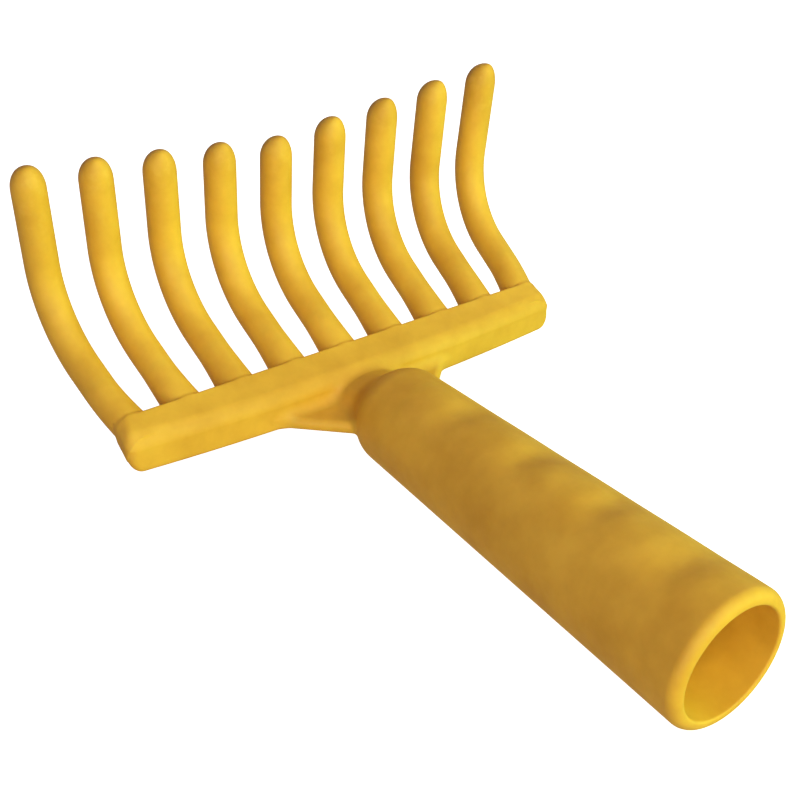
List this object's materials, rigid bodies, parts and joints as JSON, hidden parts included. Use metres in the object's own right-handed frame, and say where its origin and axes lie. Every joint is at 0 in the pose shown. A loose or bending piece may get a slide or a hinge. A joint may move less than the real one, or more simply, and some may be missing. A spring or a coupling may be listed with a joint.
{
  "type": "olive rake",
  "caption": "Hand-held fruit rake head with a row of curved round tines on a bowed crossbar and a tapered hollow grip that also takes a pole.",
  "frame": {"origin": "on the pole socket's axis, at the mouth end of its straight wall", "axes": "+Y along the socket's axis from its mouth towards the crossbar and tines, +X along the crossbar, +Z to the side that the tines curve to"},
  "size_m": [0.1488, 0.1755, 0.0811],
  "materials": {
    "plastic": "semi-gloss moulded golden-yellow plastic"
  },
  "bodies": {
    "root": {"crossbar": "plastic", "tine_1": "plastic", "tine_2": "plastic", "tine_3": "plastic", "tine_4": "plastic", "tine_5": "plastic", "tine_6": "plastic", "tine_7": "plastic", "tine_8": "plastic", "tine_9": "plastic", "neck": "plastic", "left_gusset": "plastic", "right_gusset": "plastic", "grip": "plastic"}
  },
  "joints": []
}
